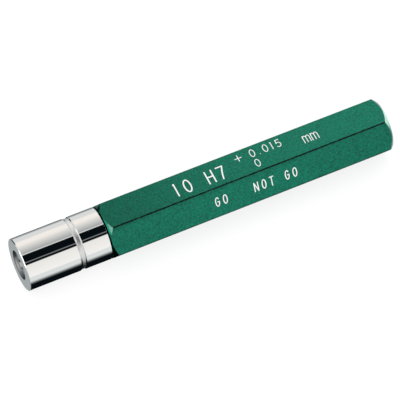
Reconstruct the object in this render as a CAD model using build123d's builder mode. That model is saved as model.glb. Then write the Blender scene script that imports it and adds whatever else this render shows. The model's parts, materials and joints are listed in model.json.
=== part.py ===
"""Step limit plug gauge for a 10 mm H7 bore: a stepped steel gauging member in a hexagonal handle.

Millimetres. +X runs from the GO end to the tail and +Z is up. The gauge lies on one flat of its handle,
and the origin is below the middle of its length, on the surface that it lies on.
"""
import os
from math import radians, sqrt, tan

from build123d import *

# Limits of the bore that the gauge tests
bore_low_limit = 10.000
bore_high_limit = 10.015
wear_allowance = 0.002

# Gauging member: steps, and the groove between them with its sloping sides
go_length = 10.15
groove_width = 1.15
groove_depth = 0.16
go_slope = 0.35
not_go_slope = 0.2
not_go_length = 5.0
front_chamfer = 0.15
rear_chamfer = 0.1

# Gauging member: recess and centres that it is ground and lapped between
recess_diameter = 5.7
recess_depth = 0.35
centre_diameter = 2.0
centre_angle = 60
pilot_diameter = 0.9
pilot_length = 1.2
drill_point_angle = 118

# Locking taper, whose diameter is given at the handle's mouth
taper_diameter = 6.35
taper_ratio = 1 / 50
taper_length = 17.0
shoulder_gap = 0.25
relief_width = 0.8
relief_depth = 0.15
shank_chamfer = 0.3

# Handle
across_flats = 10.0
handle_length = 56.8
corner_radius = 0.12
front_face_diameter = 9.9
tail_face_diameter = 9.45
end_chamfer_angle = 45
socket_clearance = 2.0
socket_mouth_chamfer = 0.2

# Worked out from the sizes above
go_diameter = bore_low_limit + wear_allowance
not_go_diameter = bore_high_limit
groove_diameter = go_diameter - 2 * groove_depth
member_length = go_length + groove_width + not_go_length
mouth_x = member_length + shoulder_gap
overall_length = mouth_x + handle_length
axis_height = max(across_flats, not_go_diameter) / 2
across_corners = across_flats * 2 / sqrt(3)

# Planes: the section that both pieces are turned about, and the faces that the features start from
front_x = -overall_length / 2
section = Plane(origin=(front_x, 0, axis_height), x_dir=(1, 0, 0), z_dir=(0, -1, 0))
turning_axis = Axis((front_x, 0, axis_height), (1, 0, 0))
mouth_plane = Plane(origin=(front_x + mouth_x, 0, axis_height), x_dir=(0, 1, 0), z_dir=(1, 0, 0))


def taper_radius(x):
    """Radius of the shank and its socket at x from the GO end."""
    return taper_diameter / 2 - (x - mouth_x) * taper_ratio / 2


def cone_length(wide_radius, narrow_radius, included_angle):
    """Length of a cone of that included angle between the two radii."""
    return (wide_radius - narrow_radius) / tan(radians(included_angle / 2))


def centre(face_x, inwards):
    """Section of a centre drilled at face_x, with its pilot; inwards is +1 or -1 along X."""
    wide, narrow = centre_diameter / 2, pilot_diameter / 2
    cone_end = cone_length(wide, narrow, centre_angle)
    pilot_end = cone_end + pilot_length
    tip = pilot_end + cone_length(narrow, 0, drill_point_angle)
    with BuildSketch(section) as drilled:
        with BuildLine():
            Polyline(
                (face_x, 0),
                (face_x, wide),
                (face_x + inwards * cone_end, narrow),
                (face_x + inwards * pilot_end, narrow),
                (face_x + inwards * tip, 0),
                close=True,
            )
        make_face()
    return drilled.sketch


# Gauging member: GO step, groove, NOT GO step and shank, turned from one bar
go_radius = go_diameter / 2
not_go_radius = not_go_diameter / 2
groove_radius = groove_diameter / 2
groove_end = go_length + groove_width
relief_end = member_length + relief_width
relief_radius = taper_radius(mouth_x) - relief_depth
shank_end = mouth_x + taper_length

with BuildPart() as gauging_member:
    with BuildSketch(section):
        with BuildLine():
            Polyline(
                (0, 0),
                (0, go_radius),
                (go_length, go_radius),
                (go_length + go_slope, groove_radius),
                (groove_end - not_go_slope, groove_radius),
                (groove_end, not_go_radius),
                (member_length, not_go_radius),
                (member_length, relief_radius),
                (relief_end, relief_radius),
                (relief_end, taper_radius(relief_end)),
                (shank_end, taper_radius(shank_end)),
                (shank_end, 0),
                close=True,
            )
        make_face()
    revolve(axis=turning_axis)

    rims = gauging_member.edges().filter_by(GeomType.CIRCLE).sort_by(Axis.X)
    rear_rim = rims.group_by(SortBy.RADIUS)[-1][-1]
    chamfer(rims[0], length=front_chamfer)
    chamfer(rear_rim, length=rear_chamfer)
    chamfer(rims[-1], length=shank_chamfer)

    with BuildSketch(section):
        Rectangle(recess_depth, recess_diameter / 2, align=(Align.MIN, Align.MIN))
    revolve(axis=turning_axis, mode=Mode.SUBTRACT)
    revolve(centre(recess_depth, 1), axis=turning_axis, mode=Mode.SUBTRACT)
    revolve(centre(shank_end, -1), axis=turning_axis, mode=Mode.SUBTRACT)

# Handle: hexagonal bar with turned ends and a blind tapered socket
front_face_radius = front_face_diameter / 2
tail_face_radius = tail_face_diameter / 2
corner_reach = across_corners / 2
front_cone = cone_length(corner_reach, front_face_radius, 2 * end_chamfer_angle)
tail_cone = cone_length(corner_reach, tail_face_radius, 2 * end_chamfer_angle)
socket_end = shank_end + socket_clearance
socket_radius = taper_radius(socket_end)
socket_tip = socket_end + cone_length(socket_radius, 0, drill_point_angle)

with BuildPart() as handle:
    with BuildSketch(mouth_plane):
        RegularPolygon(radius=across_flats / 2, side_count=6, major_radius=False)
    extrude(amount=handle_length)
    fillet(handle.edges().filter_by(Axis.X), radius=corner_radius)

    with BuildSketch(section):
        with BuildLine():
            Polyline(
                (mouth_x, 0),
                (mouth_x, front_face_radius),
                (mouth_x + front_cone, corner_reach),
                (overall_length - tail_cone, corner_reach),
                (overall_length, tail_face_radius),
                (overall_length, 0),
                close=True,
            )
        make_face()
    revolve(axis=turning_axis, mode=Mode.INTERSECT)

    with BuildSketch(section):
        with BuildLine():
            Polyline(
                (mouth_x, 0),
                (mouth_x, taper_radius(mouth_x)),
                (socket_end, socket_radius),
                (socket_tip, 0),
                close=True,
            )
        make_face()
    revolve(axis=turning_axis, mode=Mode.SUBTRACT)
    mouth_rim = handle.edges().filter_by(GeomType.CIRCLE).group_by(Axis.X)[0].sort_by(SortBy.RADIUS)[0]
    chamfer(mouth_rim, length=socket_mouth_chamfer)

gauging_member.part.label = "gauging_member"
handle.part.label = "handle"

os.makedirs("parts", exist_ok=True)
export_step(gauging_member.part, "parts/gauging_member.step")
export_step(handle.part, "parts/handle.step")
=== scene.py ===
import json
from math import cos, pi, radians, sin, sqrt, tan

import bmesh
import bpy
from bpy.props import FloatProperty, FloatVectorProperty, IntProperty, PointerProperty
from mathutils import Matrix, Vector


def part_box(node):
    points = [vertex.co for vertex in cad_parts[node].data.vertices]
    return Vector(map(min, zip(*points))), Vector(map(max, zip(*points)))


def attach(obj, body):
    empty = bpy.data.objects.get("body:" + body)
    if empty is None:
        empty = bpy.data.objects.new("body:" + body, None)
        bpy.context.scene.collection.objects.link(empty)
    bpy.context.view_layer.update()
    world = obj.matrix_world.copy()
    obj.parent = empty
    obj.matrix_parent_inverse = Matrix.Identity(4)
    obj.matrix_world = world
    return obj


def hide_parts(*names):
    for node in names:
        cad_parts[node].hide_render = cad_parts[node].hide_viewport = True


bl_info = {
    "name": "Step Limit Plug Gauge",
    "version": (1, 0, 0),
    "blender": (4, 5, 0),
    "location": "3D View > Sidebar > Plug Gauge",
    "description": "Dresses a step limit plug gauge: lapped steel steps in an engraved hexagonal handle",
    "category": "Object",
}

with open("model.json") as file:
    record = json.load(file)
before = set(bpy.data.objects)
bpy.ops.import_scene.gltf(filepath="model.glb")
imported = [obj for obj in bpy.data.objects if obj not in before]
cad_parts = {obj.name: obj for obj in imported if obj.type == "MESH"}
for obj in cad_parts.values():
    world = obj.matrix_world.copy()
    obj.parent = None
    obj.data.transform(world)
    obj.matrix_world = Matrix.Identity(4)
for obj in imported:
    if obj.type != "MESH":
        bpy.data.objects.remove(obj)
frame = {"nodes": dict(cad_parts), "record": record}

MM = 0.001
BODY = "root"
MEMBER, HANDLE = "gauging_member", "handle"

# What the frame gives: both pieces' ends, the axis above the bench, the bar's flats and the two steps
member_low, member_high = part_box(MEMBER)
handle_low, handle_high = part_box(HANDLE)
MOUNTS = {mount["name"]: mount for mount in frame["record"]["mounts"]}
GO, NOT_GO = MOUNTS["go_step"], MOUNTS["not_go_step"]

FRONT_X, SHANK_X = member_low.x, member_high.x
MOUTH_X, TAIL_X = handle_low.x, handle_high.x
AXIS_Z = GO["pos_m"][2]
GO_RADIUS = GO["dims"]["r_mm"] * MM
NOT_GO_RADIUS = NOT_GO["dims"]["r_mm"] * MM
GO_END_X = GO["pos_m"][0] + GO["dims"]["length_mm"] * MM / 2
NOT_GO_X = NOT_GO["pos_m"][0] - NOT_GO["dims"]["length_mm"] * MM / 2
NOT_GO_END_X = NOT_GO["pos_m"][0] + NOT_GO["dims"]["length_mm"] * MM / 2
ACROSS_FLATS = handle_high.z - handle_low.z
CORNER_REACH = ACROSS_FLATS / sqrt(3)

# Slopes of a drill's point and of a centre's cone, and how the locking taper's radius falls
DRILL_SLOPE, CENTRE_SLOPE = tan(radians(59)), tan(radians(30))
TAPER_FALL = 1 / 100
# Vertices that a boolean leaves closer together than this become one
SLIVER = 0.0001 * MM


def length(label, description, millimetres):
    """A length in the add-on's settings."""
    return FloatProperty(
        name=label, description=description, default=millimetres * MM, min=0.0, precision=6, unit="LENGTH"
    )


def colour(label, description, default):
    """A linear colour in the add-on's settings."""
    return FloatVectorProperty(
        name=label, description=description, default=default, min=0.0, soft_max=1.0, size=3, subtype="COLOR"
    )


class MemberSettings(bpy.types.PropertyGroup):
    """Turned details of the gauging member."""

    front_chamfer: length("Front chamfer", "Chamfer round the GO end", 0.15)
    rear_chamfer: length("Rear chamfer", "Chamfer round the back of the NOT GO step", 0.1)
    groove_depth: length("Groove depth", "Depth of the groove between the steps", 0.16)
    go_slope: length("GO slope", "Length of the groove's side next to the GO step", 0.35)
    not_go_slope: length("NOT GO slope", "Length of the groove's side next to the NOT GO step", 0.2)
    recess_diameter: length("Recess", "Diameter of the recess in the GO end", 5.7)
    recess_depth: length("Recess depth", "Depth of the recess in the GO end", 0.35)
    centre_diameter: length("Centre", "Diameter of the 60 degree centres in both ends", 2.0)
    pilot_diameter: length("Pilot", "Diameter of the pilot behind each centre", 0.9)
    pilot_length: length("Pilot length", "Length of the pilot behind each centre", 1.2)
    taper_diameter: length("Taper", "Diameter of the locking taper at the handle's mouth", 6.35)
    relief_width: length("Relief", "Width of the relief behind the NOT GO step", 0.8)
    relief_depth: length("Relief depth", "Depth of the relief behind the NOT GO step", 0.15)
    shank_chamfer: length("Shank chamfer", "Chamfer round the end of the shank", 0.3)
    edge_round: length("Edge rounding", "Rounding that lapping leaves on every edge", 0.008)
    segments: IntProperty(
        name="Segments", description="Faces round each turned surface", default=256, min=32, max=512
    )
    steel: colour("Steel", "Colour of the lapped steel", (0.80, 0.795, 0.78))


class HandleSettings(bpy.types.PropertyGroup):
    """Details of the hexagonal bar."""

    corner_radius: length("Corner radius", "Rounding along the bar's six corners", 0.12)
    front_face: length("Front face", "Diameter of the turned face next to the steps", 9.9)
    tail_face: length("Tail face", "Diameter of the turned face at the tail", 9.45)
    socket_clearance: length("Socket clearance", "Depth of the socket behind the shank", 2.0)
    mouth_chamfer: length("Mouth chamfer", "Chamfer round the socket's mouth", 0.2)
    green: colour("Anodising", "Colour of the dyed anodised finish", (0.0055, 0.142, 0.089))
    bloom: colour("Bloom", "Colour of the paler patches in the anodising", (0.02, 0.14, 0.095))


class MarkingSettings(bpy.types.PropertyGroup):
    """The engraved markings on the two upper flats."""

    large_stroke: length("Large stroke", "Width of the cut for the bore size", 0.29)
    middle_stroke: length("Middle stroke", "Width of the cut for the step names", 0.22)
    small_stroke: length("Small stroke", "Width of the cut for the limits and the unit", 0.17)
    depth: length("Depth", "Depth of the engraving", 0.1)
    fill_below: length("Fill below", "How far the paint lies below the surface", 0.012)
    paint: colour("Paint", "Colour of the paint in the engraving", (0.92, 0.93, 0.92))


class StageSettings(bpy.types.PropertyGroup):
    """Floor, light and camera."""

    floor_colour: colour("Floor", "Colour of the lit bench", (0.24, 0.24, 0.24))
    floor_light: FloatProperty(name="Floor light", description="Light that the bench gives itself", default=0.8)
    distance: FloatProperty(
        name="Camera distance", description="From the camera to the middle of the gauge", default=0.60006,
        min=0.1, unit="LENGTH",
    )
    sky_light: FloatProperty(
        name="Sky light", description="Brightness of the even light from all round", default=1.1
    )
    tent_radius: FloatProperty(
        name="Tent radius", description="Radius of the light tent round the gauge", default=0.3, unit="LENGTH"
    )
    tent_reach: FloatProperty(
        name="Tent reach", description="From the gauge to each end of the light tent", default=0.42, unit="LENGTH"
    )
    front_light: FloatProperty(
        name="Front light", description="Brightness of the tent's end in front of the GO step", default=2.0
    )
    tail_light: FloatProperty(
        name="Tail light", description="Brightness of the bench beyond the handle's tail", default=2.5
    )
    lens: FloatProperty(
        name="Lens", description="Focal length in millimetres, for a 36 mm sensor", default=295.8, min=50
    )


class Shader:
    """Builds one material from expressions. `node` adds any node; values add their own Math nodes."""

    def __init__(self, name):
        self.material = bpy.data.materials.new(name)
        self.material.use_nodes = True
        self.tree = self.material.node_tree
        self.tree.nodes.clear()

    def node(self, kind, settings=None, **inputs):
        """Adds a node, sets it up and gives its inputs by name, with spaces as underscores."""
        made = self.tree.nodes.new(kind)
        for key, value in (settings or {}).items():
            setattr(made, key, value)
        for key, value in inputs.items():
            self.feed(made.inputs[key.replace("_", " ")], value)
        return made

    def feed(self, socket, value):
        """Links a value to a socket, or sets the socket to a plain number, vector or colour."""
        if isinstance(value, Field):
            self.tree.links.new(value.socket, socket)
        elif isinstance(value, bpy.types.NodeSocket):
            self.tree.links.new(value, socket)
        else:
            socket.default_value = value

    def field(self, socket):
        return Field(self, socket)

    def maths(self, operation, *values):
        """A Math node on up to three values."""
        made = self.tree.nodes.new("ShaderNodeMath")
        made.operation = operation
        for socket, value in zip(made.inputs, values):
            self.feed(socket, value)
        return Field(self, made.outputs[0])

    def place(self):
        """The point on the surface in the gauge's frame, as x, y and height above the axis, in millimetres."""
        where = self.node("ShaderNodeTexCoord").outputs["Object"]
        split = self.node("ShaderNodeSeparateXYZ", Vector=where)
        x, y, z = (self.field(output) / MM for output in split.outputs)
        return x, y, z - AXIS_Z / MM

    def radius(self, y, z):
        """The distance from the gauge's axis."""
        return (y * y + z * z) ** 0.5

    def point(self, x, y, z):
        """A vector from three values."""
        return self.node("ShaderNodeCombineXYZ", X=x, Y=y, Z=z).outputs[0]

    def noise(self, where, scale, detail=2.0, roughness=0.5):
        """Noise between 0 and 1 at a point."""
        made = self.node(
            "ShaderNodeTexNoise", {"normalize": True},
            Vector=where, Scale=scale, Detail=detail, Roughness=roughness,
        )
        return self.field(made.outputs["Fac"])

    def mix(self, share, first, second):
        """A colour between two colours."""
        made = self.node("ShaderNodeMix", {"data_type": "RGBA"})
        self.feed(made.inputs["Factor"], share)
        self.feed(made.inputs[6], first)
        self.feed(made.inputs[7], second)
        return made.outputs[2]

    def bump(self, height, distance, strength=1.0):
        """A normal from a height between 0 and 1, with its full depth in metres."""
        return self.node("ShaderNodeBump", Height=height, Distance=distance, Strength=strength).outputs[0]

    def ramp(self, place, stops, interpolation="LINEAR"):
        """A colour from a ramp, with its stops given as (place from 0 to 1, colour)."""
        made = self.node("ShaderNodeValToRGB", Fac=place)
        made.color_ramp.interpolation = interpolation
        elements = made.color_ramp.elements
        while len(elements) < len(stops):
            elements.new(0.5)
        for element, (position, tone) in zip(elements, stops):
            element.position, element.color = position, rgba(tone)
        return made.outputs[0]

    def scaled(self, tone, factor):
        """A colour times a number."""
        made = self.node("ShaderNodeVectorMath", {"operation": "SCALE"}, Vector=tone, Scale=factor)
        return made.outputs[0]

    def glow(self, tone, strength=1.0):
        """Ends the material in a light of its own."""
        light = self.node("ShaderNodeEmission", Color=tone, Strength=strength)
        self.node("ShaderNodeOutputMaterial", Surface=light.outputs[0])
        return self.material

    def finish(self, **inputs):
        """Ends the material in a Principled surface."""
        surface = self.node("ShaderNodeBsdfPrincipled", **inputs)
        self.node("ShaderNodeOutputMaterial", Surface=surface.outputs[0])
        return self.material


class Field:
    """A number that varies over a surface, used in Python arithmetic."""

    def __init__(self, shader, socket):
        self.shader, self.socket = shader, socket

    def __add__(self, other):
        return self.shader.maths("ADD", self, other)

    def __radd__(self, other):
        return self.shader.maths("ADD", other, self)

    def __sub__(self, other):
        return self.shader.maths("SUBTRACT", self, other)

    def __rsub__(self, other):
        return self.shader.maths("SUBTRACT", other, self)

    def __mul__(self, other):
        return self.shader.maths("MULTIPLY", self, other)

    def __rmul__(self, other):
        return self.shader.maths("MULTIPLY", other, self)

    def __truediv__(self, other):
        return self.shader.maths("DIVIDE", self, other)

    def __pow__(self, other):
        return self.shader.maths("POWER", self, other)

    def ramp(self, low, high):
        """0 below low and 1 above high, smooth between them."""
        made = self.shader.node(
            "ShaderNodeMapRange", {"interpolation_type": "SMOOTHSTEP"}, Value=self, From_Min=low, From_Max=high
        )
        return Field(self.shader, made.outputs[0])

    def band(self, low, high, soft):
        """1 between low and high, fading to 0 over the soft ends inside them."""
        return self.ramp(low, low + soft) * (1.0 - self.ramp(high - soft, high))


def rgba(tone, factor=1.0):
    """A linear colour, or a multiple of it, with full alpha."""
    return (*(factor * channel for channel in tone), 1.0)


# A painted highlight crosses the turned recess in a fan at this angle round the axis; painted shade goes to this tone
PAINTED_HIGHLIGHT_TURN = radians(31)
STEEL_SHADOW = (0.03, 0.03, 0.035)


def lapped_steel():
    """Ground and lapped steel: a mirror on the steps, duller in the groove and on the turned end face."""
    settings = bpy.context.scene.gauge_member
    shader = Shader("lapped_steel")
    x, y, z = shader.place()
    radius = shader.radius(y, z)
    marks = shader.noise(shader.point(x * 14.0, y * 0.5, z * 0.5), 1.0, detail=3.0)
    rings = shader.noise(shader.point(radius * 9.0, x * 0.3, 0.0), 1.0, detail=3.0)
    smudges = shader.noise(shader.point(x, y, z), 0.35, detail=3.0)
    front, rear = FRONT_X / MM, NOT_GO_END_X / MM
    recess_radius, centre_radius = settings.recess_diameter / MM / 2, settings.centre_diameter / MM / 2
    groove_start, groove_end = GO_END_X / MM, NOT_GO_X / MM
    groove = x.band(groove_start, groove_end, 0.04)
    groove_floor = x.band(groove_start + settings.go_slope / MM, groove_end - settings.not_go_slope / MM, 0.04)
    face = 1.0 - x.ramp(front + 0.02, front + 0.04)
    recess = 1.0 - radius.ramp(recess_radius, recess_radius + 0.02)
    centre = 1.0 - radius.ramp(centre_radius, centre_radius + 0.03)
    shoulder = x.ramp(rear, rear + 0.03)
    turned = face + (1.0 - face) * recess
    off_fan = ((y * cos(PAINTED_HIGHLIGHT_TURN) + z * sin(PAINTED_HIGHLIGHT_TURN)) ** 2.0) ** 0.5
    # Painted highlight in a fan across the recess floor
    painted_fan_highlight = recess * x.ramp(front + 0.05, front + 0.15) * (1.0 - off_fan.ramp(0.0, 2.6))
    # Painted shade on the recess walls, floor and centre, less where the painted highlight lies
    recess_shade_and_highlight = 0.87 * recess - 0.6 * painted_fan_highlight + centre * (0.15 + 0.4 * off_fan.ramp(0.3, 0.7))
    # Painted shade also darkens the groove a little and the shoulder behind the NOT GO step, where the gap to the
    # handle lies in shadow
    painted_shade = recess_shade_and_highlight + 0.12 * groove + 0.9 * shoulder
    return shader.finish(
        Base_Color=shader.mix(painted_shade, rgba(settings.steel), rgba(STEEL_SHADOW)),
        Metallic=1.0,
        Roughness=0.03 + 0.02 * smudges + turned * (0.08 + 0.08 * rings) + 0.15 * groove + 0.18 * groove_floor,
        Normal=shader.bump(marks * 0.1 + turned * rings, 0.0004 * MM),
    )


def green_anodised():
    """Dyed anodised aluminium: a matt clouded grain, glossy on the turned ends.

    Painted shade darkens each rounded corner a little, and a painted dark reflection darkens the corner between the
    two marked flats. More painted shade lies on the top flat, most of all near the plug, and painted light makes the
    middle of the other flats and the turned chamfers paler.
    """
    settings = bpy.context.scene.gauge_handle
    shader = Shader("green_anodised")
    x, y, z = shader.place()
    here = shader.point(x, y, z)
    radius = shader.radius(y, z)
    grain = shader.noise(here, 2.8, detail=3.0, roughness=0.6)
    cloud = shader.noise(here, 0.5)
    bloom = shader.noise(here, 1.9, detail=1.0).ramp(0.45, 0.7)
    drawn = shader.noise(shader.point(x * 0.15, y * 6.0, z * 6.0), 1.0)
    mouth, tail, reach = MOUTH_X / MM, TAIL_X / MM, CORNER_REACH / MM
    along_front = (x - mouth) - (radius - settings.front_face / MM / 2)
    along_tail = (tail - x) - (radius - settings.tail_face / MM / 2)
    front_cone = 1.0 - along_front.ramp(0.01, 0.03)
    tail_cone = 1.0 - along_tail.ramp(0.01, 0.03)
    cones = front_cone + tail_cone
    # Painted shade along every rounded corner, and a painted dark reflection along the corner between the two marked
    # flats
    corners = radius.ramp(reach - 0.11, reach - 0.06) * (1.0 - cones)
    between_markings = (z - y).ramp(6.2, 7.4)
    line = corners * (0.1 + 0.83 * between_markings)
    # Painted shade on the top flat, most of all near the plug, and painted light in the middle of the other flats
    top = z.ramp(4.0, 4.9)
    painted_shade_near_plug = top * (1.0 - x.ramp(-20.0, 5.0))
    middle = (1.0 - top) * x.ramp(-12.0, 5.0) * (1.0 - x.ramp(15.0, 30.0))
    # The turned chamfers are paler as a painted highlight; depth holds all the painted light and shade
    depth = (1.0 - line + 0.2 * cones) * (1.06 - 0.1 * top - 0.18 * painted_shade_near_plug + 0.1 * middle)
    # The grain's own tone times the painted light and shade
    tone_and_painted_shade = (2.2 * grain + 0.25 * cloud + 0.15 * drawn - 0.3) * depth
    dyed = shader.mix(tone_and_painted_shade * 0.5, rgba((0.0, 0.0, 0.0)), rgba(settings.green, 2.0))
    return shader.finish(
        Base_Color=shader.mix(0.3 * bloom, dyed, rgba(settings.bloom)),
        Metallic=0.85 + 0.15 * cones,
        Roughness=0.32 + 0.12 * grain - 0.2 * cones,
        Coat_Weight=0.8 * front_cone * x.ramp(mouth + 0.2, mouth + 0.35) + tail_cone,
        Coat_Roughness=0.08,
        Coat_IOR=1.9,
        Normal=shader.bump(grain + 0.5 * cloud, 0.01 * MM),
    )


def engraving_paint():
    """White enamel in the engraving, a little uneven."""
    settings = bpy.context.scene.gauge_marking
    shader = Shader("engraving_paint")
    x, y, z = shader.place()
    grain = shader.noise(shader.point(x, y, z), 6.0)
    return shader.finish(
        Base_Color=shader.mix(grain, rgba(settings.paint, 0.85), rgba(settings.paint)),
        Roughness=0.45 + 0.15 * grain,
        Normal=shader.bump(grain, 0.01 * MM),
    )


def piece(name, mesh, materials, stands_for=None):
    """Links a finished mesh as a piece of the gauge that rides on its body."""
    made = bpy.data.objects.new(name, mesh)
    bpy.context.scene.collection.objects.link(made)
    mesh.name = name
    mesh.materials.clear()
    for material in materials:
        mesh.materials.append(material)
    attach(made, BODY)
    if stands_for:
        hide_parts(stands_for)
        node = frame["nodes"][stands_for]
        node.data.materials.clear()
        node.data.materials.append(materials[0])
    return made


def round_shading(mesh, sharp_from):
    """Smooth faces, with sharp edges where two faces meet at more than that angle, in degrees."""
    bm = bmesh.new()
    bm.from_mesh(mesh)
    for face in bm.faces:
        face.smooth = True
    for edge in bm.edges:
        edge.smooth = edge.calc_face_angle(pi) < radians(sharp_from)
    bm.to_mesh(mesh)
    bm.free()


def keep_large_faces_flat(made):
    """Shades large faces flat, so that only the narrow ones between them look rounded."""
    weighted = made.modifiers.new("large_faces_stay_flat", "WEIGHTED_NORMAL")
    weighted.weight, weighted.keep_sharp = 100, True


def lathe(outline, segments, edge_round=0.0):
    """A solid turned about the gauge's axis from an outline of (x, radius) whose ends lie on the axis."""
    bm = bmesh.new()
    corners = [bm.verts.new((x, 0.0, radius)) for x, radius in outline]
    bm.faces.new(corners)
    if edge_round:
        bmesh.ops.bevel(
            bm, geom=corners[1:-1], offset=edge_round, segments=3, profile=0.5, affect="VERTICES", material=-1
        )
    bmesh.ops.delete(bm, geom=list(bm.faces), context="FACES_ONLY")
    on_axis = [edge for edge in bm.edges if all(abs(v.co.z) < 1e-9 for v in edge.verts)]
    bmesh.ops.delete(bm, geom=on_axis, context="EDGES")
    bmesh.ops.spin(
        bm, geom=bm.verts[:] + bm.edges[:], cent=(0, 0, 0), axis=(1, 0, 0), angle=2 * pi, steps=segments,
        use_merge=True,
    )
    bmesh.ops.remove_doubles(bm, verts=bm.verts, dist=1e-7)
    bmesh.ops.translate(bm, verts=bm.verts, vec=(0, 0, AXIS_Z))
    bmesh.ops.recalc_face_normals(bm, faces=bm.faces)
    return bm


def mesh_of(bm, name):
    """The bmesh as a mesh. The bmesh is freed."""
    mesh = bpy.data.meshes.new(name)
    bm.to_mesh(mesh)
    bm.free()
    return mesh


def combined(mesh, tool, operation):
    """The mesh after a boolean with the tool's mesh, whose shells may overlap each other, without slivers."""
    body = bpy.data.objects.new("body", mesh)
    cutter = bpy.data.objects.new("cutter", tool)
    for made in (body, cutter):
        bpy.context.scene.collection.objects.link(made)
    step = body.modifiers.new("step", "BOOLEAN")
    step.operation, step.object, step.solver, step.use_self = operation, cutter, "EXACT", True
    graph = bpy.context.evaluated_depsgraph_get()
    bm = bmesh.new()
    bm.from_mesh(bpy.data.meshes.new_from_object(body.evaluated_get(graph)))
    bmesh.ops.remove_doubles(bm, verts=bm.verts, dist=SLIVER)
    for made in (body, cutter):
        bpy.data.objects.remove(made)
    return mesh_of(bm, "combined")


def taper_radius(x):
    """Radius of the locking taper at x."""
    return bpy.context.scene.gauge_member.taper_diameter / 2 - (x - MOUTH_X) * TAPER_FALL


def centre_outline(face_x, inwards):
    """Outline of a 60 degree centre and its pilot, from the axis out to the face; inwards is +1 or -1."""
    settings = bpy.context.scene.gauge_member
    wide, narrow = settings.centre_diameter / 2, settings.pilot_diameter / 2
    cone = (wide - narrow) / CENTRE_SLOPE
    pilot = cone + settings.pilot_length
    tip = pilot + narrow / DRILL_SLOPE
    return [
        (face_x + inwards * tip, 0.0),
        (face_x + inwards * pilot, narrow),
        (face_x + inwards * cone, narrow),
        (face_x, wide),
    ]


def member_outline():
    """Outline of the gauging member, from the front centre round to the centre in the shank's end."""
    s = bpy.context.scene.gauge_member
    floor_x = FRONT_X + s.recess_depth
    groove_radius = GO_RADIUS - s.groove_depth
    shoulder_x = NOT_GO_END_X + s.rear_chamfer
    relief_end = shoulder_x + s.relief_width
    relief_radius = s.taper_diameter / 2 - s.relief_depth
    shank_end_radius = taper_radius(SHANK_X)
    return [
        *centre_outline(floor_x, 1),
        (floor_x, s.recess_diameter / 2),
        (FRONT_X, s.recess_diameter / 2),
        (FRONT_X, GO_RADIUS - s.front_chamfer),
        (FRONT_X + s.front_chamfer, GO_RADIUS),
        (GO_END_X, GO_RADIUS),
        (GO_END_X + s.go_slope, groove_radius),
        (NOT_GO_X - s.not_go_slope, groove_radius),
        (NOT_GO_X, NOT_GO_RADIUS),
        (NOT_GO_END_X, NOT_GO_RADIUS),
        (shoulder_x, NOT_GO_RADIUS - s.rear_chamfer),
        (shoulder_x, relief_radius),
        (relief_end, relief_radius),
        (relief_end, taper_radius(relief_end)),
        (SHANK_X - s.shank_chamfer, taper_radius(SHANK_X - s.shank_chamfer)),
        (SHANK_X, shank_end_radius - s.shank_chamfer),
        *reversed(centre_outline(SHANK_X, -1)),
    ]


class GAUGE_OT_member(bpy.types.Operator):
    """Turn the gauging member and give it its lapped finish"""

    bl_idname = "gauge.member"
    bl_label = "Gauging Member"
    bl_options = {"REGISTER", "UNDO"}

    def execute(self, context):
        settings = context.scene.gauge_member
        turned = lathe(member_outline(), settings.segments, settings.edge_round)
        mesh = mesh_of(turned, "lapped_member")
        round_shading(mesh, sharp_from=4)
        piece("lapped_member", mesh, [lapped_steel()], stands_for=MEMBER)
        return {"FINISHED"}


def hexagonal_prism(across_flats):
    """A prism about the gauge's axis that is as long as the handle and lies on one of its flats."""
    bm = bmesh.new()
    made = bmesh.ops.create_circle(bm, cap_ends=True, segments=6, radius=across_flats / sqrt(3))
    bmesh.ops.rotate(bm, verts=made["verts"], cent=(0, 0, 0), matrix=Matrix.Rotation(pi / 2, 3, "Y"))
    bmesh.ops.translate(bm, verts=made["verts"], vec=(MOUTH_X, 0, AXIS_Z))
    drawn = bmesh.ops.extrude_face_region(bm, geom=bm.faces[:])
    moved = [item for item in drawn["geom"] if isinstance(item, bmesh.types.BMVert)]
    bmesh.ops.translate(bm, verts=moved, vec=(TAIL_X - MOUTH_X, 0, 0))
    bmesh.ops.recalc_face_normals(bm, faces=bm.faces)
    return bm


def bar():
    """The hexagonal bar with its rounded corners."""
    settings = bpy.context.scene.gauge_handle
    bm = hexagonal_prism(ACROSS_FLATS)
    long_edges = [edge for edge in bm.edges if abs(edge.verts[0].co.x - edge.verts[1].co.x) > MM]
    bmesh.ops.bevel(
        bm, geom=long_edges, offset=settings.corner_radius * tan(radians(30)), segments=6, profile=0.5,
        affect="EDGES", material=-1,
    )
    return bm


def handle_outline():
    """What the lathe leaves of the bar: the socket, both faces and their chamfers at 45 degrees."""
    s = bpy.context.scene.gauge_handle
    front, tail = s.front_face / 2, s.tail_face / 2
    reach = CORNER_REACH
    socket_x = SHANK_X + s.socket_clearance
    socket_radius = taper_radius(socket_x)
    mouth_x = MOUTH_X + s.mouth_chamfer
    return [
        (socket_x + socket_radius / DRILL_SLOPE, 0.0),
        (socket_x, socket_radius),
        (mouth_x, taper_radius(mouth_x)),
        (MOUTH_X, taper_radius(MOUTH_X) + s.mouth_chamfer),
        (MOUTH_X, front),
        (MOUTH_X + reach - front, reach),
        (TAIL_X - reach + tail, reach),
        (TAIL_X, tail),
        (TAIL_X, 0.0),
    ]


class Flat:
    """One flat of the handle as a page: x along the gauge, up across the flat, and out of it."""

    def __init__(self, turn):
        """turn is the angle from the top flat towards the camera's side, in degrees."""
        self.out = Vector((0, -sin(radians(turn)), cos(radians(turn))))
        self.up = Vector((0, cos(radians(turn)), sin(radians(turn))))
        middle = Vector((0, 0, AXIS_Z)) + self.out * ACROSS_FLATS / 2
        self.matrix = Matrix(((1, 0, 0), self.up, self.out)).transposed().to_4x4()
        self.matrix.translation = middle


TOP, LOWER = Flat(0), Flat(60)


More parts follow.
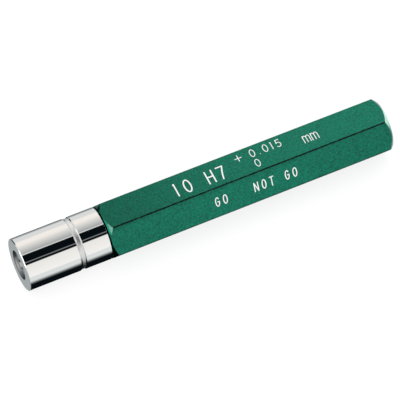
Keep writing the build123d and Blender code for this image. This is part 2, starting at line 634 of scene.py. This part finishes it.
def arc(centre_x, centre_y, wide, high, start, end):
    """Points along part of an ellipse, anticlockwise from the right, with angles in degrees."""
    steps = max(6, round(abs(end - start) / 9))
    angles = [radians(start + (end - start) * step / steps) for step in range(steps + 1)]
    return [(centre_x + wide * cos(angle), centre_y + high * sin(angle)) for angle in angles]


# Strokes of each character in a cell 1 wide and 1 high, as an engraving cutter follows them
RING = [arc(0.0, 0.5, 0.5, 0.5, 0, 360)]
STROKES = {
    "0": RING,
    "O": RING,
    "1": [[(-0.1, 0.95), (0.0, 1.0)], [(0.0, 1.0), (0.0, 0.0)]],
    "5": [
        [(0.4, 1.0), (-0.36, 1.0)],
        [(-0.36, 1.0), (-0.42, 0.54)],
        [(-0.42, 0.54), *arc(-0.04, 0.32, 0.5, 0.32, 130, -140)],
    ],
    "7": [[(-0.5, 1.0), (0.5, 1.0)], [(0.5, 1.0), (0.2, 0.62), (0.0, 0.3), (-0.13, 0.0)]],
    "H": [[(-0.5, 0.0), (-0.5, 1.0)], [(0.5, 0.0), (0.5, 1.0)], [(-0.5, 0.52), (0.5, 0.52)]],
    "+": [[(-0.5, 0.5), (0.5, 0.5)], [(0.0, 0.0), (0.0, 1.0)]],
    ".": [[(-0.01, 0.04), (0.01, 0.04)]],
    "m": [
        [(-0.5, 0.0), (-0.5, 0.7)],
        [*reversed(arc(-0.25, 0.46, 0.25, 0.22, 0, 160)), (0.0, 0.0)],
        [*reversed(arc(0.25, 0.46, 0.25, 0.22, 0, 160)), (0.5, 0.0)],
    ],
    "G": [arc(0.0, 0.5, 0.5, 0.5, 42, 360), [(0.5, 0.5), (0.08, 0.5)]],
    "N": [[(-0.5, 0.0), (-0.5, 1.0)], [(-0.5, 1.0), (0.5, 0.0)], [(0.5, 0.0), (0.5, 1.0)]],
    "T": [[(-0.5, 1.0), (0.5, 1.0)], [(0.0, 1.0), (0.0, 0.0)]],
}


class Marking:
    """One line of engraving: cells of one size at an even pitch, the first one so many millimetres from the mouth."""

    def __init__(self, flat, text, first, base, pitch, size, stroke):
        self.flat, self.text, self.stroke = flat, text, stroke
        self.first, self.base, self.pitch, self.size = first, base, pitch, size

    def strokes(self):
        """Each stroke as points in the gauge's frame."""
        wide, high = self.size
        for cell, character in enumerate(self.text):
            middle = MOUTH_X / MM + self.first + cell * self.pitch
            for line in STROKES.get(character, []):
                yield [
                    self.flat.matrix @ (Vector((middle + x * wide, self.base + y * high, 0)) * MM) for x, y in line
                ]


# The bore size, its limits and its unit on the top flat, and the names of the steps on the lower one
MARKINGS = [
    Marking(TOP, "10 H7", 14.575, -1.63, 2.27, (1.22, 2.67), "large_stroke"),
    Marking(TOP, "+", 27.745, 0.6, 1.32, (1.3, 1.35), "small_stroke"),
    Marking(TOP, "0.015", 30.575, 0.46, 1.32, (0.86, 1.58), "small_stroke"),
    Marking(TOP, "0", 30.575, -1.88, 1.32, (0.86, 1.58), "small_stroke"),
    Marking(TOP, "mm", 41.05, -0.84, 1.62, (1.25, 2.2), "small_stroke"),
    Marking(LOWER, "GO   NOT GO", 20.995, -0.84, 1.565, (0.72, 1.75), "middle_stroke"),
]


def cutter_path(marking, settings):
    """A bmesh of round-nosed cuts along a line of engraving, as overlapping closed shells."""
    half = getattr(settings, marking.stroke) / 2
    nose = (settings.depth**2 + half**2) / (2 * settings.depth)
    lift = marking.flat.out * (nose - settings.depth)
    curve = bpy.data.curves.new("cuts", "CURVE")
    curve.dimensions, curve.bevel_depth, curve.bevel_resolution, curve.use_fill_caps = "3D", nose, 3, True
    bm = bmesh.new()
    for stroke in marking.strokes():
        points = [point + lift for point in stroke]
        closed = (points[0] - points[-1]).length < 1e-7
        line = curve.splines.new("POLY")
        line.points.add(len(points) - 1 - closed)
        line.use_cyclic_u = closed
        for place, point in zip(line.points, points):
            place.co = (*point, 1.0)
        if not closed:
            for point in (points[0], points[-1]):
                bmesh.ops.create_uvsphere(
                    bm, u_segments=16, v_segments=8, radius=nose, matrix=Matrix.Translation(point)
                )
    carrier = bpy.data.objects.new("cuts", curve)
    bpy.context.scene.collection.objects.link(carrier)
    tubes = bpy.data.meshes.new_from_object(carrier.evaluated_get(bpy.context.evaluated_depsgraph_get()))
    bm.from_mesh(tubes)
    bpy.data.objects.remove(carrier)
    return bm


def cutter_mesh():
    """Every cut of the engraving as one mesh."""
    settings = bpy.context.scene.gauge_marking
    whole = bmesh.new()
    for marking in MARKINGS:
        whole.from_mesh(mesh_of(cutter_path(marking, settings), "cuts"))
    return mesh_of(whole, "cuts")


class GAUGE_OT_handle(bpy.types.Operator):
    """Cut the handle from bar, bore its socket, engrave it and anodise it"""

    bl_idname = "gauge.handle"
    bl_label = "Handle"
    bl_options = {"REGISTER", "UNDO"}

    def execute(self, context):
        segments = context.scene.gauge_member.segments
        turned = mesh_of(lathe(handle_outline(), segments), "turned")
        plain = combined(mesh_of(bar(), "bar"), turned, "INTERSECT")
        mesh = combined(plain, cutter_mesh(), "DIFFERENCE")
        round_shading(mesh, sharp_from=25)
        made = piece("engraved_handle", mesh, [green_anodised()], stands_for=HANDLE)
        keep_large_faces_flat(made)
        return {"FINISHED"}


class GAUGE_OT_markings(bpy.types.Operator):
    """Fill the engraving with paint"""

    bl_idname = "gauge.markings"
    bl_label = "Markings"
    bl_options = {"REGISTER", "UNDO"}

    def execute(self, context):
        settings = context.scene.gauge_marking
        level = hexagonal_prism(ACROSS_FLATS - 2 * settings.fill_below)
        mesh = combined(mesh_of(level, "level"), cutter_mesh(), "INTERSECT")
        round_shading(mesh, sharp_from=40)
        piece("marking_paint", mesh, [engraving_paint()])
        return {"FINISHED"}


# Tones of the cloths round the gauge, in linear colours
WHITE, CREAM, LINEN = (1.10, 1.09, 1.07), (1.10, 1.06, 1.01), (1.0, 0.99, 0.965)
PALE, DUSK, ASH = (0.86, 0.91, 0.92), (0.85, 0.865, 0.88), (0.62, 0.64, 0.67)
COOL, GAP, BLACK = (0.42, 0.46, 0.475), (0.26, 0.28, 0.29), (0.0025, 0.005, 0.007)
# The tent over the gauge: degrees from straight up towards the camera's side, and the tone there
TENT = [
    (-76, DUSK),
    (-66, CREAM),
    (-50, CREAM),
    (-3.8, COOL),
    (-2.4, WHITE),
    (-0.8, WHITE),
    (0.2, BLACK),
    (30.5, BLACK),
    (31.2, GAP),
    (33.5, GAP),
    (34.2, BLACK),
    (43, BLACK),
    (44.5, LINEN),
    (92, WHITE),
]
# The bench beside the gauge and in front of it: millimetres from below its axis towards the camera's side
BENCH_REACH = 60.0
# The black below the gauge is a painted contact shadow that the steel sees in its reflections
BESIDE = [(-45, DUSK), (-24, COOL), (-8.5, BLACK), (8.8, BLACK), (16, PALE), (34, PALE), (54, WHITE)]
IN_FRONT = [(-25, BLACK), (-11, COOL), (5, COOL), (40, PALE)]


# Half the floor's side, in metres
FLOOR_REACH = 3.0
# The camera: its turn about the vertical, its height and its roll in degrees, and where it aims, in millimetres
AZIMUTH, ELEVATION, ROLL = -26.008, 56.066, -0.804
AIM = (-1.0896, -1.0273, 5.0075)


def reflected_only(name, bm, shader_material):
    """A piece of the studio that shows in reflections alone."""
    made = bpy.data.objects.new(name, mesh_of(bm, name))
    bpy.context.scene.collection.objects.link(made)
    made.data.materials.append(shader_material)
    made.visible_camera = made.visible_diffuse = made.visible_shadow = False
    made.visible_transmission = made.visible_volume_scatter = False


def tent(settings):
    """A tunnel of lit and black cloth along the gauge, brighter on the far side towards the tail."""
    bm = bmesh.new()
    line = [bm.verts.new((x, 0, settings.tent_radius)) for x in (-settings.tent_reach, settings.tent_reach)]
    edge = bm.edges.new(line)
    bmesh.ops.spin(
        bm, geom=[*line, edge], cent=(0, 0, 0), axis=(1, 0, 0), angle=2 * pi, steps=180, use_merge=True
    )
    bmesh.ops.translate(bm, verts=bm.verts, vec=(0, 0, AXIS_Z))
    shader = Shader("tent")
    x, y, z = shader.place()
    turn = shader.maths("ARCTAN2", y * -1.0, z) / (2 * pi) + 0.5
    cloths = shader.ramp(turn, [(degree / 360 + 0.5, tone) for degree, tone in TENT])
    strip = (2.3 * x.ramp(65.0, 125.0) - 0.15 * x.ramp(50.0, 60.0)) * y.ramp(-60.0, 20.0)
    lit = shader.scaled(cloths, 1.0 + strip)
    middle = x.ramp(-70.0, -50.0) * (1.0 - x.ramp(135.0, 165.0))
    reflected_only("tent", bm, shader.glow(shader.mix(middle, rgba(DUSK), lit)))


def tent_ends(settings):
    """A cloth across each end of the tent, with a lit part that starts at y = start and leans at its top."""
    for name, side, start, top, lean, plain, lit in (
        ("front_cloth", -1, -115.0, 130.0, -0.35, rgba(DUSK), rgba(WHITE, settings.front_light)),
        ("tail_cloth", 1, -125.0, 235.0, 0.6, rgba(ASH), rgba(CREAM)),
    ):
        bm = bmesh.new()
        bmesh.ops.create_circle(
            bm, cap_ends=True, segments=64, radius=settings.tent_radius,
            matrix=Matrix.Translation((side * settings.tent_reach, 0, AXIS_Z)) @ Matrix.Rotation(pi / 2, 4, "Y"),
        )
        shader = Shader(name)
        _, y, z = shader.place()
        across = y.ramp(start, start + 30.0) * (1.0 - y.ramp(170.0, 230.0))
        share = across * (1.0 - (z + lean * y).ramp(top, top + 40.0))
        reflected_only(name, bm, shader.glow(shader.mix(share, plain, lit)))


def reflected_bench(settings):
    """The bench as the steel sees it: black below the gauge, paler in front of it and bright beyond its tail."""
    bm = bmesh.new()
    bmesh.ops.create_grid(bm, x_segments=1, y_segments=1, size=settings.tent_reach)
    shader = Shader("reflected_bench")
    x, y, _ = shader.place()
    # Black below the gauge: a painted contact shadow in the reflections
    across = 0.5 - y / (2 * BENCH_REACH)
    beside, in_front = (
        shader.ramp(across, [(place / (2 * BENCH_REACH) + 0.5, tone) for place, tone in stops], "EASE")
        for stops in (BESIDE, IN_FRONT)
    )
    front, tail = FRONT_X / MM, TAIL_X / MM
    tones = shader.mix(x.ramp(front - 0.1, front), in_front, beside)
    in_line = 1.0 - (y * y).ramp(600.0, 900.0)
    tones = shader.mix(x.ramp(tail - 1.0, tail + 5.0) * in_line, tones, rgba(ASH))
    tones = shader.mix(x.ramp(tail + 10.0, tail + 43.0) * in_line, tones, rgba(WHITE, settings.tail_light))
    reflected_only("reflected_bench", bm, shader.glow(tones))


def floor(settings):
    """A pale bench that gives some light itself. The reflected bench takes its place in the reflections."""
    bm = bmesh.new()
    bmesh.ops.create_grid(bm, x_segments=1, y_segments=1, size=FLOOR_REACH)
    made = bpy.data.objects.new("floor", mesh_of(bm, "floor"))
    bpy.context.scene.collection.objects.link(made)
    made.data.materials.append(
        Shader("floor").finish(
            Base_Color=rgba(settings.floor_colour), Roughness=0.9, Emission_Color=rgba((1.0, 1.0, 1.0)),
            Emission_Strength=settings.floor_light,
        )
    )
    made.visible_glossy = False


def sky(settings):
    """Even white light from all round."""
    world = bpy.data.worlds.new("studio")
    world.use_nodes = True
    background = world.node_tree.nodes["Background"]
    background.inputs["Color"].default_value = rgba((1.0, 1.0, 1.0))
    background.inputs["Strength"].default_value = settings.sky_light
    bpy.context.scene.world = world


def camera(settings):
    """The photograph's camera."""
    azimuth, elevation, roll = radians(AZIMUTH), radians(ELEVATION), radians(ROLL)
    right = Vector((cos(azimuth), sin(azimuth), 0))
    back = Vector((sin(azimuth) * cos(elevation), -cos(azimuth) * cos(elevation), sin(elevation)))
    up = back.cross(right)
    turned_right = right * cos(roll) - up * sin(roll)
    turned_up = right * sin(roll) + up * cos(roll)
    data = bpy.data.cameras.new("camera")
    data.lens, data.sensor_width = settings.lens, 36.0
    data.clip_start, data.clip_end = 0.01, 10.0
    made = bpy.data.objects.new("camera", data)
    bpy.context.scene.collection.objects.link(made)
    placed = Matrix((turned_right, turned_up, back)).transposed().to_4x4()
    placed.translation = Vector(AIM) * MM + back * settings.distance
    made.matrix_world = placed
    bpy.context.scene.camera = made


class GAUGE_OT_stage(bpy.types.Operator):
    """Lay the floor, hang the lights and set the camera"""

    bl_idname = "gauge.stage"
    bl_label = "Stage"
    bl_options = {"REGISTER", "UNDO"}

    def execute(self, context):
        for part in (floor, tent, tent_ends, reflected_bench, sky, camera):
            part(context.scene.gauge_stage)
        context.scene.view_settings.view_transform = "Standard"
        return {"FINISHED"}


class GAUGE_PT_sidebar(bpy.types.Panel):
    """Shows a button for each step that makes the gauge"""

    bl_idname = "GAUGE_PT_sidebar"
    bl_label = "Step Limit Plug Gauge"
    bl_space_type = "VIEW_3D"
    bl_region_type = "UI"
    bl_category = "Plug Gauge"

    def draw(self, context):
        layout = self.layout
        for operator in OPERATORS:
            layout.operator(operator.bl_idname)


OPERATORS = (GAUGE_OT_member, GAUGE_OT_handle, GAUGE_OT_markings, GAUGE_OT_stage)
SETTINGS = {
    "gauge_member": MemberSettings,
    "gauge_handle": HandleSettings,
    "gauge_marking": MarkingSettings,
    "gauge_stage": StageSettings,
}


def register():
    for group in (*SETTINGS.values(), *OPERATORS, GAUGE_PT_sidebar):
        bpy.utils.register_class(group)
    for name, group in SETTINGS.items():
        setattr(bpy.types.Scene, name, PointerProperty(type=group))


def unregister():
    for name in SETTINGS:
        delattr(bpy.types.Scene, name)
    for group in (GAUGE_PT_sidebar, *reversed(OPERATORS), *reversed(SETTINGS.values())):
        bpy.utils.unregister_class(group)


def main():
    """Makes every piece in order."""
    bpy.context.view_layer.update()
    register()
    bpy.ops.gauge.member()
    bpy.ops.gauge.handle()
    bpy.ops.gauge.markings()
    bpy.ops.gauge.stage()


if __name__ == "__main__":
    main()
